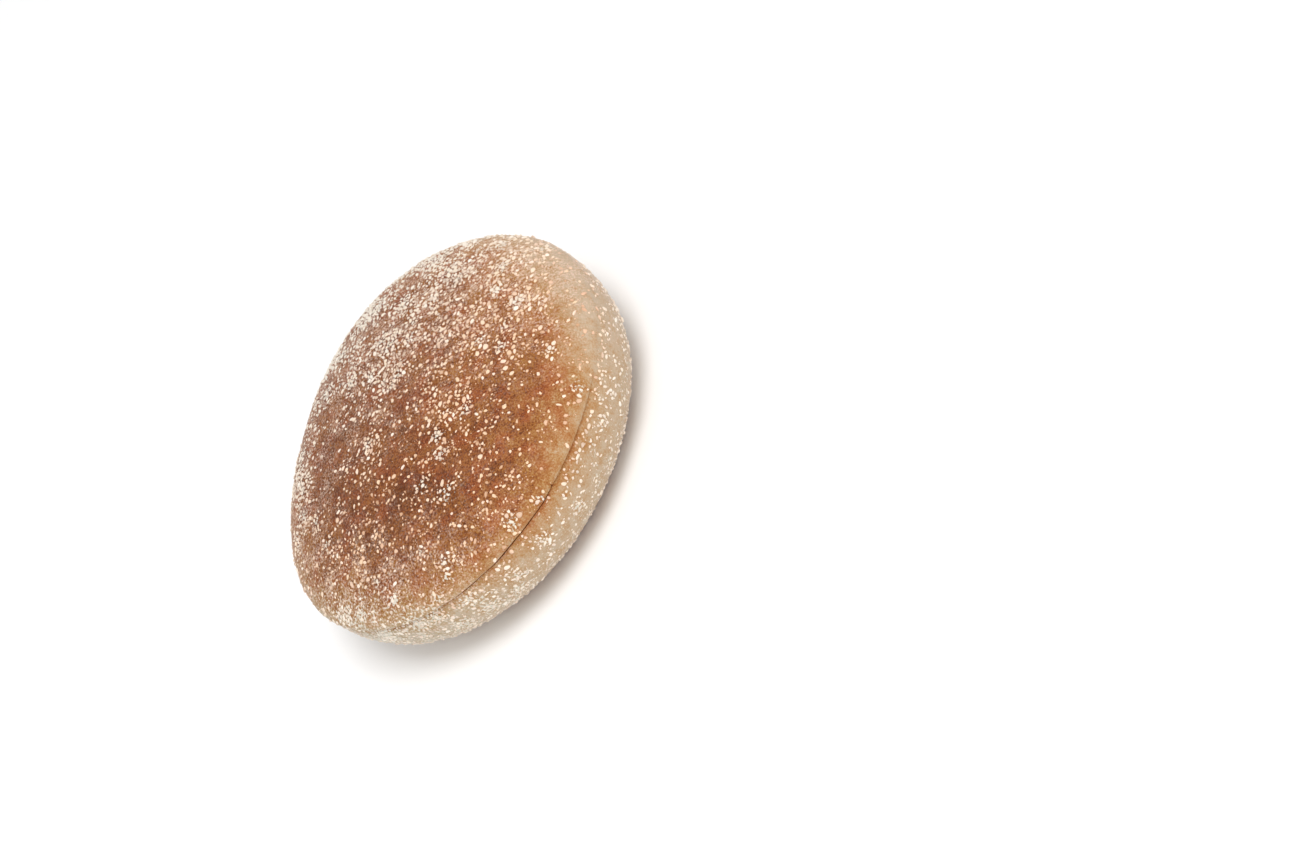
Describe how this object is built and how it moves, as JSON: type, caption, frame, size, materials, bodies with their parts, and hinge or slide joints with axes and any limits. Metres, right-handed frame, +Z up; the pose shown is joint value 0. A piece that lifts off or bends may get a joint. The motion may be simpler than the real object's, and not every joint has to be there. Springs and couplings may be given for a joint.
{
  "type": "hamburger bun",
  "caption": "Low round bread bun: domed brown crown, paler side partly slit by a knife, flat base, coarse corn grits stuck to its crust; rests flat, to be split and filled.",
  "frame": {"origin": "middle of the flat base, on the bun's axis", "axes": "+Z up through the crown, -Y towards the middle of the slit in the side"},
  "size_m": [0.1046, 0.1063, 0.037],
  "materials": {
    "crust": "matt baked crust, caramel brown on top and cream-tan round the side, with cream corn grits"
  },
  "bodies": {
    "root": {"bun": "crust"}
  },
  "joints": []
}
